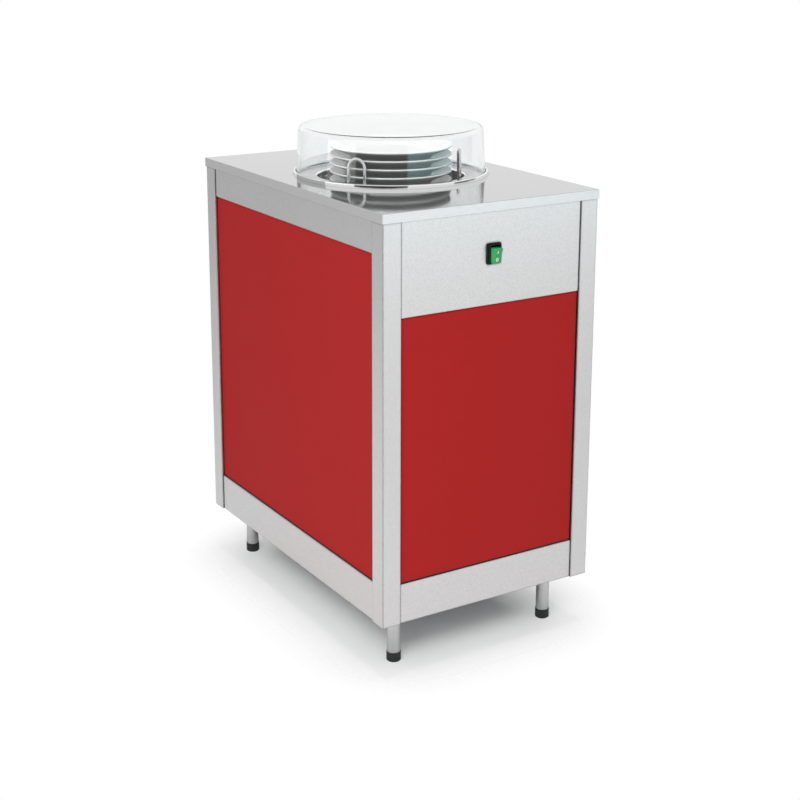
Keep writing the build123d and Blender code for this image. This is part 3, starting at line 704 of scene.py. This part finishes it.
def screw_tree() -> PatternTree:
    """Build the tree of domed screws with a hexagon socket, one on each point, heads towards +Y."""
    tree = PatternTree("Socket screws", {
        "Head Radius": 0.0042, "Crown Radius": 0.003, "Rim Height": 0.001, "Head Height": 0.0024,
        "Socket Radius": 0.0014,
    }, takes_points=True)
    given = tree.given
    rim = tree.add("MeshCone", Vertices=28, Radius_Top=given["Head Radius"],
                   Radius_Bottom=given["Head Radius"], Depth=given["Rim Height"])
    dome_depth = tree.add("ShaderNodeMath", operation="SUBTRACT", Value=given["Head Height"])
    tree.tree.links.new(given["Rim Height"], dome_depth.inputs[1])
    dome = tree.add("MeshCone", Vertices=28, Radius_Top=given["Crown Radius"],
                    Radius_Bottom=given["Head Radius"], Depth=dome_depth.outputs[0])
    lift = tree.add("ShaderNodeCombineXYZ", Z=given["Rim Height"])
    raised = tree.add("Transform", Geometry=dome.outputs[0], Translation=lift.outputs[0])
    key = tree.add("MeshCylinder", Vertices=6, Radius=given["Socket Radius"], Depth=given["Head Height"])
    sink = tree.add("ShaderNodeCombineXYZ", Z=given["Head Height"])
    sunk = tree.add("Transform", Geometry=key.outputs[0], Translation=sink.outputs[0])
    head = tree.add("MeshBoolean", operation="UNION")
    for part in (rim, raised):
        tree.tree.links.new(part.outputs[0], head.inputs["Mesh 2"])
    socket = tree.add("MeshBoolean", operation="DIFFERENCE", Mesh_1=head.outputs[0], Mesh_2=sunk.outputs[0])
    turned = tree.add("Transform", Geometry=socket.outputs[0], Rotation=(-math.pi / 2, 0.0, 0.0))
    spread = tree.add("InstanceOnPoints", Points=given["Points"], Instance=turned.outputs[0])
    tree.close(spread.outputs[0], "fastener_steel")
    return tree


# Sub-assemblies

@dataclass
class Rim:
    """The polished rim round the well: neck, flange and bead."""

    flange: float = 0.046
    bead_width: float = 0.0042
    bead_flat: float = 0.0001
    gauge: float = 0.0015
    roll: float = 0.003
    lip_round: float = 0.0004
    heel_round: float = 0.0008

    def make(self) -> None:
        """Turn the rim with its true roundings."""
        low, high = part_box("rim_ring")
        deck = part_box("worktop")[1].z
        outer = high.x
        mouth = outer - self.flange
        face = deck + self.gauge
        inner = outer - self.bead_width
        crown = self.bead_width / 2 - self.bead_flat
        corners = [
            (mouth, low.z, self.lip_round), (mouth + self.gauge, low.z, self.lip_round),
            (mouth + self.gauge, deck, 0.0), (outer, deck, 0.0), (outer, high.z, crown), (inner, high.z, crown),
            (inner, face, self.heel_round), (mouth, face, self.roll),
        ]
        shell = turned_shell(rounded_outline(corners, steps=10), segments=256)
        add_piece("rim_polished", shell, "cabinet", "rim_chrome", ("rim_ring",), crease=50.0)


@dataclass
class Cover:
    """The clear cover over the stack."""

    wall: float = 0.003
    corner: float = 0.010
    taper: float = 0.0047
    foot_round: float = 0.0008

    def make(self) -> None:
        """Turn the cover with a rounded top corner and a softened foot."""
        low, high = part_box("cover")
        foot, head = high.x, high.x - self.taper
        top, base = high.z, low.z
        under = top - self.wall
        corners = [
            (foot, base, self.foot_round), (head, top, self.corner), (0.0, top, 0.0), (0.0, under, 0.0),
            (head - self.wall, under, self.corner - self.wall), (foot - self.wall, base, self.foot_round),
        ]
        shell = turned_shell(rounded_outline(corners, steps=12), segments=256)
        add_piece("cover_moulding", shell, "cover", "clear_plastic", ("cover",), crease=60.0)


@dataclass
class PlateStack:
    """The plates on the carriage: glazed, with a rolled edge and a turned foot."""

    foot_radius: float = 0.077
    foot_width: float = 0.005
    foot_round: float = 0.0015
    foot_flank: float = 0.003
    flank_round: float = 0.004
    hollow_flank: float = 0.002
    recess: float = 0.0055
    well: float = 0.011
    well_step: float = 0.004
    bowl_step: float = 0.006
    bowl_round: float = 0.012
    pitch: float = 0.0153
    edge: float = 0.0032
    edge_rounds: Pair = (0.0012, 0.0015)

    def outline(self) -> Outline:
        """Return one plate's outline above its foot's underside."""
        low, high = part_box("top_plate")
        rim, height = high.x, high.z - low.z
        inner = self.foot_radius - self.foot_width
        under, over = self.edge_rounds
        corners = [
            (0.0, self.recess, 0.0), (inner - self.hollow_flank, self.recess, self.hollow_flank),
            (inner, 0.0, self.foot_round), (self.foot_radius, 0.0, self.foot_round),
            (self.foot_radius + self.foot_flank, self.recess, self.flank_round),
            (rim, height - self.edge, under), (rim, height, over),
            (self.foot_radius + self.bowl_step, self.pitch, self.bowl_round),
            (inner - self.well_step, self.well, self.bowl_round), (0.0, self.well, 0.0),
        ]
        return rounded_outline(corners, steps=5)

    def make(self) -> None:
        """Turn the top plate and the plates under it."""
        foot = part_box("top_plate")[0].z
        count = round((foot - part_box("plate_stack")[0].z) / self.pitch)
        outline = self.outline()
        top = turned_shell(outline, 192, (foot,))
        add_piece("top_plate_glazed", top, "carriage", "porcelain", ("top_plate",), crease=60.0)
        below = turned_shell(outline, 160, tuple(foot - self.pitch * (row + 1) for row in range(count)))
        add_piece("stack_glazed", below, "carriage", "porcelain", ("plate_stack",), crease=60.0)


@dataclass
class GuideWires:
    """The three upright wire loops round the stack and the springs between their legs."""

    names: tuple[str, ...] = ("left", "right", "rear")
    first_angle: float = 210.0
    circle: float = 0.131
    half_width: float = 0.017
    wire: float = 0.003
    sides: int = 20
    arc_steps: int = 28
    coil_radius: float = 0.0048
    coil_wire: float = 0.0007
    wires_per_turn: float = 2.6
    hook: float = 0.008

    def loop(self, angle: float, low: float, high: float) -> Shell:
        """Sweep one loop.

        Args:
            angle: The loop's place round the well, in radians.
            low: The height of its feet.
            high: The height of its crown's outside.

        Returns:
            The closed tube.
        """
        shoulder = high - self.wire - self.half_width
        line = [(-self.half_width, low, 0.0)]
        for step in range(self.arc_steps + 1):
            turn = math.pi * step / self.arc_steps
            line.append((-self.half_width * math.cos(turn), shoulder + self.half_width * math.sin(turn), turn))
        line.append((self.half_width, low, math.pi))
        place = Matrix.Rotation(angle, 4, "Z") @ Matrix.Translation((self.circle, 0, 0))
        sides = [2 * math.pi * side / self.sides for side in range(self.sides)]
        rings = []
        for across, level, turn in line:
            rings.append([place @ Vector((self.wire * math.sin(a), across - self.wire * math.cos(a) * math.cos(turn),
                                          level + self.wire * math.cos(a) * math.sin(turn))) for a in sides])
        return lofted_shell(rings)

    def make(self) -> None:
        """Make each loop and its spring."""
        tree = spring_tree()
        for index, name in enumerate(self.names):
            angle = math.radians(self.first_angle + 360 / len(self.names) * index)
            low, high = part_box("guide_loop_" + name)
            add_piece("wire_" + name, self.loop(angle, low.z, high.z), "cabinet", "guide_wire",
                      ("guide_loop_" + name,), crease=60.0)
            self.make_spring(tree, name, angle)

    def make_spring(self, tree: PatternTree, name: str, angle: float) -> None:
        """Wind one spring between the bracket and the carriage.

        Args:
            tree: The spring's tree.
            name: The guide that the spring hangs in.
            angle: The guide's place round the well, in radians.
        """
        low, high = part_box("spring_" + name)
        x, y = self.circle * math.cos(angle), self.circle * math.sin(angle)
        end, foot, head, top = (Vector((x, y, z)) for z in (low.z, low.z + self.hook, high.z - self.hook, high.z))
        piece = tree.grow("coil_" + name, {
            "Coil Radius": self.coil_radius, "Wire Radius": self.coil_wire, "Coil Length": head.z - foot.z,
            "Turns": round((head.z - foot.z) / (self.coil_wire * self.wires_per_turn)),
            "Low End": end, "High End": top, "Coil Foot": foot, "Coil Head": head,
        })
        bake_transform(piece)
        placed(piece, "", ("spring_" + name,))


@dataclass
class RockerSwitch:
    """The green rocker in its raised black housing."""

    flange: Corner = (0.030, 0.038, 0.003)
    flange_depth: float = 0.003
    collar: Corner = (0.026, 0.034, 0.002)
    collar_depth: float = 0.0065
    window: Corner = (0.0198, 0.0318, 0.0006)
    tub: Corner = (0.0198, 0.0318, 0.0012)
    tub_depth: float = 0.012
    tub_wall: float = 0.0011
    soft_edge: float = 0.0006
    rocker_width: float = 0.019
    face: float = 0.015
    half_height: float = 0.014
    dip: float = 0.002
    valley_round: float = 0.008
    root: Pair = (0.004, 0.0105)
    root_round: float = 0.002
    tilt: float = 11.0
    pivot_set: float = 0.001
    round_edge: float = 0.0009
    edge_shoulder: float = 0.3
    bar_level: float = 0.0068
    bar_half: Pair = (0.0007, 0.0029)
    ring_level: float = -0.0070
    ring_radii: Pair = (0.0031, 0.0018)
    ring_narrowing: float = 0.85
    ring_steps: int = 40
    mark_lifts: Pair = (-0.0002, 0.00012)

    def panel_face(self) -> Pair:
        """Return the control panel's outer face and the switch's height."""
        low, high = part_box("switch_bezel")
        return low.y + self.collar_depth, (low.z + high.z) / 2

    def ring(self, size: Corner, depth: float, shrink: float = 0.0) -> list[Vector]:
        """Return a rounded rectangle in front of the panel.

        Args:
            size: Its width, height and corner radius.
            depth: How far it stands in front of the panel.
            shrink: How much is taken off each side.

        Returns:
            Its points.
        """
        face, height = self.panel_face()
        x, z = size[0] / 2 - shrink, size[1] / 2 - shrink
        turn = max(size[2] - shrink, 0.0002)
        outline = rounded_outline([(-x, -z, turn), (x, -z, turn), (x, z, turn), (-x, z, turn)])
        return [Vector((a, face - depth, height + b)) for a, b in outline]

    def make(self) -> None:
        """Make the housing, the rocker and its two marks."""
        edge = self.soft_edge
        rows = (
            (self.flange, 0.0), (self.flange, self.flange_depth - edge), (self.flange, self.flange_depth, edge),
            (self.collar, self.flange_depth), (self.collar, self.collar_depth - edge),
            (self.collar, self.collar_depth, edge), (self.window, self.collar_depth), (self.window, -self.tub_depth),
            (self.tub, -self.tub_depth, -self.tub_wall), (self.tub, 0.0, -self.tub_wall),
        )
        housing = lofted_shell([self.ring(*row) for row in rows], closed=True)
        add_piece("switch_housing", housing, "cabinet", "black_plastic", ("switch_bezel",), crease=30.0)
        self.make_rocker()
        self.make_marks()

    def tipped(self, point: Vector) -> Vector:
        """Turn a point of the level rocker to its rest tilt and put it on its pivot."""
        face, height = self.panel_face()
        return Matrix.Rotation(math.radians(self.tilt), 3, "X") @ point + Vector((0.0, face + self.pivot_set, height))

    def make_rocker(self) -> None:
        """Loft the rocker across its width with rounded sides."""
        edge, (back, root) = self.round_edge, self.root
        corners = [(back, -root, self.root_round), (-self.face, -self.half_height, edge),
                   (-self.face + self.dip, 0.0, self.valley_round), (-self.face, self.half_height, edge),
                   (back, root, self.root_round)]
        outline = rounded_outline(corners)
        half, shoulder = self.rocker_width / 2, edge * self.edge_shoulder
        loops = []
        for across, inset in ((-half, edge), (-half + shoulder, shoulder), (-half + edge, 0.0),
                              (half - edge, 0.0), (half - shoulder, shoulder), (half, edge)):
            scale_y, scale_z = 1 - inset / self.face, 1 - inset / self.half_height
            loops.append([self.tipped(Vector((across, y * scale_y, z * scale_z))) for y, z in outline])
        add_piece("rocker_moulding", lofted_shell(loops), "rocker", "green_plastic", ("rocker",), crease=35.0)

    def on_face(self, height: float, across: float, lift: float) -> Vector:
        """Return a point on the rocker's front, at a height above its valley and lifted off it."""
        slope = self.dip / self.half_height
        return self.tipped(Vector((across, -self.face + self.dip - abs(height) * slope - lift, height)))

    def make_marks(self) -> None:
        """Lay the printed bar and ring on the rocker's front."""
        x, z = self.bar_half
        outline = [(-x, -z), (x, -z), (x, z), (-x, z)]
        bar = [[self.on_face(self.bar_level + b, a, lift) for a, b in outline] for lift in self.mark_lifts]
        add_piece("rocker_on_mark", lofted_shell(bar), "rocker", "print_white")
        turn = [2 * math.pi * step / self.ring_steps for step in range(self.ring_steps)]
        (outer, inner), (sunk, raised) = self.ring_radii, self.mark_lifts
        ring = [[self.on_face(self.ring_level + r * math.sin(a), r * self.ring_narrowing * math.cos(a), lift)
                 for a in turn] for r, lift in ((outer, sunk), (outer, raised), (inner, raised), (inner, sunk))]
        add_piece("rocker_off_mark", lofted_shell(ring, closed=True), "rocker", "print_white")


@dataclass
class RearScrews:
    """The screws that hold the rear service panel."""

    head: float = 0.0042

    def make(self) -> None:
        """Put a screw on each CAD screw's place."""
        low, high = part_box("rear_panel_screws")
        middle = (low.z + high.z) / 2
        face = low.y
        places = tuple(Vector((x, face, z))
                       for x in (low.x + self.head, high.x - self.head)
                       for z in (low.z + self.head, middle, high.z - self.head))
        piece = screw_tree().grow("rear_screws", {"Head Radius": self.head, "Head Height": high.y - low.y}, places)
        placed(piece, "cabinet", ("rear_panel_screws",))


# Studio

def direction(azimuth: float, elevation: float = 0.0) -> Vector:
    """Return the way out from the cabinet in degrees, where azimuth 0 is its front and grows to the right."""
    a, e = math.radians(azimuth), math.radians(elevation)
    return Vector((math.sin(a) * math.cos(e), -math.cos(a) * math.cos(e), math.sin(e)))


def upright(first: float, last: float, low: float, high: float) -> list[Point]:
    """Return the corners of a sheet between two azimuths and two heights, at the cards' reach."""
    near, far = (direction(azimuth).xy * CARD_REACH for azimuth in (first, last))
    return [(*near, low), (*far, low), (*far, high), (*near, high)]


def level(half: float, height: float) -> list[Point]:
    """Return the corners of a level square round the cabinet's axis."""
    return [(-half, -half, height), (half, -half, height), (half, half, height), (-half, half, height)]


def stage_sheet(name: str, corners: list[Point], material: bpy.types.Material) -> Thing:
    """Make a flat stage object.

    Args:
        name: Its name.
        corners: Its corners.
        material: Its material.

    Returns:
        The object.
    """
    mesh = bpy.data.meshes.new(name)
    mesh.from_pydata(corners, [], [tuple(range(len(corners)))])
    mesh.materials.append(material)
    made = new_thing(name, mesh)
    return made


@dataclass(frozen=True)
class Lamp:
    """A square lamp that looks at the middle of the cabinet."""

    name: str
    azimuth: float
    elevation: float
    distance: float
    size: float
    power: float
    aim: Point = (0.0, 0.0, 0.5)

    def make(self) -> None:
        """Hang the lamp, hidden from the camera, gloss and clear plastic."""
        lamp = bpy.data.lights.new(self.name, "AREA")
        lamp.shape = "SQUARE"
        lamp.size = self.size
        lamp.energy = self.power
        holder = new_thing(self.name, lamp)
        away = direction(self.azimuth, self.elevation)
        holder.location = Vector(self.aim) + away * self.distance
        holder.rotation_mode = "QUATERNION"
        holder.rotation_quaternion = (-away).to_track_quat("-Z", "Y")
        holder.visible_camera = False
        holder.visible_glossy = False
        holder.visible_transmission = False


@dataclass(frozen=True)
class Card:
    """A glowing card that only gloss sees, and that throws no light and no shadow."""

    name: str
    colour: Colour
    strength: float
    corners: list[Point]

    def make(self) -> None:
        """Make the card."""
        material = bpy.data.materials.new(self.name)
        material.use_nodes = True
        sheet = ShaderSheet(material.node_tree)
        glow = sheet.add("Emission", Color=(*self.colour, 1.0), Strength=self.strength)
        sheet.feed(material.node_tree.nodes["Material Output"], Surface=glow.outputs[0])
        card = stage_sheet(self.name, self.corners, material)
        card.visible_camera = False
        card.visible_diffuse = False
        card.visible_shadow = False
        card.visible_transmission = False


@dataclass(frozen=True)
class Studio:
    """The pale floor, the soft light, the reflecting cards and the camera."""

    camera_place: Point = (-1.505, -2.463, 1.337)
    azimuth: float = -31.79
    elevation: float = 13.69
    roll: float = 0.15
    lens: float = 68.27
    sensor: float = 36.0
    shift_y: float = -0.148
    sky_light: float = 0.30
    floor_half: float = 3.0
    floor_tones: tuple[Colour, Colour] = ((0.88, 0.89, 0.89), (0.90, 0.91, 0.91))
    shadow_half: Point = (0.10, 0.22, 0.0)
    shadow_fade: Pair = (0.02, 0.24)
    lamps: tuple[Lamp, ...] = (
        Lamp("corner_lamp", azimuth=-45.0, elevation=30.0, distance=4.3, size=2.2, power=122.0),
        Lamp("top_lamp", azimuth=0.0, elevation=89.0, distance=5.4, size=1.2, power=142.0),
    )
    cards: tuple[Card, ...] = (
        Card("dark_card", (0.03, 0.03, 0.03), 1.0, upright(-73.0, -12.0, 0.0, 1.32)),
        Card("warm_card", (1.0, 0.62, 0.60), 1.8, upright(-12.0, 46.0, 0.20, 0.48)),
        Card("teal_card", (0.44, 0.75, 0.78), 3.6, upright(-12.0, 46.0, 0.48, 0.86)),
        Card("pale_card", (1.0, 1.0, 0.98), 2.3, upright(-112.0, -73.0, 0.20, 0.56)),
        Card("veil_card", (1.0, 1.0, 0.99), 3.2, upright(-112.0, -73.0, 0.56, 0.88)),
        Card("left_shade", (0.55, 0.55, 0.55), 1.0, upright(-176.0, -112.0, 0.0, 2.6)),
        Card("right_shade", (0.06, 0.06, 0.06), 1.0, upright(46.0, 83.0, 0.50, 1.32)),
        Card("ceiling_card", (0.55, 0.55, 0.55), 1.0, level(2.0, 3.0)),
    )

    def make(self) -> None:
        """Set up the whole studio."""
        bpy.context.scene.view_settings.view_transform = "Standard"
        self.make_world()
        self.make_floor()
        for stand in (*self.lamps, *self.cards):
            stand.make()
        self.make_camera()

    def make_world(self) -> None:
        """White for what the camera and gloss see, and an even pale light for everything else."""
        world = bpy.data.worlds.new("studio")
        bpy.context.scene.world = world
        world.use_nodes = True
        sheet = ShaderSheet(world.node_tree)
        world.node_tree.nodes.clear()
        path = sheet.add("LightPath").outputs
        sheen = sheet.calculate("MAXIMUM", path["Is Glossy Ray"], path["Is Transmission Ray"])
        seen = sheet.calculate("MAXIMUM", path["Is Camera Ray"], sheen)
        light = sheet.add("Background", Color=WHITE, Strength=self.sky_light)
        white = sheet.add("Background", Color=WHITE, Strength=1.0)
        sheet.add("OutputWorld", Surface=sheet.choose(seen, light, white))

    def make_floor(self) -> None:
        """Lay a wide pale floor that keeps the cabinet's shadow and fades out for the camera away from it."""
        material = bpy.data.materials.new("studio_floor")
        material.use_nodes = True
        sheet = ShaderSheet(material.node_tree)
        shader = material.node_tree.nodes["Principled BSDF"]
        noise = sheet.add("TexNoise", Scale=3.0)
        darker, lighter = ((*tone, 1.0) for tone in self.floor_tones)
        sheet.feed(shader, Base_Color=sheet.blend(noise.outputs[0], darker, lighter), Roughness=1.0,
                   Specular_IOR_Level=0.0)
        outside = sheet.add("TexCoord").outputs["Object"]
        for operation, *values in (("ABSOLUTE",), ("SUBTRACT", self.shadow_half), ("MAXIMUM", (0.0, 0.0, 0.0))):
            outside = sheet.calculate(operation, outside, *values, kind="VectorMath", result="Vector")
        away = sheet.stretch(sheet.calculate("LENGTH", outside, kind="VectorMath"), *self.shadow_fade)
        fade = sheet.calculate("MULTIPLY", away, sheet.add("LightPath").outputs["Is Camera Ray"])
        sheet.feed(material.node_tree.nodes["Material Output"],
                   Surface=sheet.choose(fade, shader, sheet.add("BsdfTransparent")))
        stage_sheet("studio_floor", level(self.floor_half, 0.0), material)

    def make_camera(self) -> None:
        """Stand the camera where the photograph was taken from."""
        data = bpy.data.cameras.new("camera")
        data.lens = self.lens
        data.sensor_width = self.sensor
        data.shift_y = self.shift_y
        camera = new_thing("camera", data)
        ahead = -direction(self.azimuth, self.elevation)
        turn = ahead.to_track_quat("-Z", "Y").to_matrix() @ Matrix.Rotation(math.radians(self.roll), 3, "Z")
        camera.matrix_world = Matrix.Translation(self.camera_place) @ turn.to_4x4()
        bpy.context.scene.camera = camera


def clear_startup() -> None:
    """Remove what a new Blender file brings with it."""
    keep = set(frame["nodes"].values()) | set(frame["bodies"].values())
    for thing in list(bpy.data.objects):
        if thing not in keep:
            bpy.data.objects.remove(thing)


def main() -> None:
    """Dress the frame, build each sub-assembly and set up the studio."""
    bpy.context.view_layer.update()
    clear_startup()
    dress_frame()
    for part in (Rim(), Cover(), PlateStack(), GuideWires(), RockerSwitch(), RearScrews()):
        part.make()
    Studio().make()


if __name__ == "__main__":
    main()
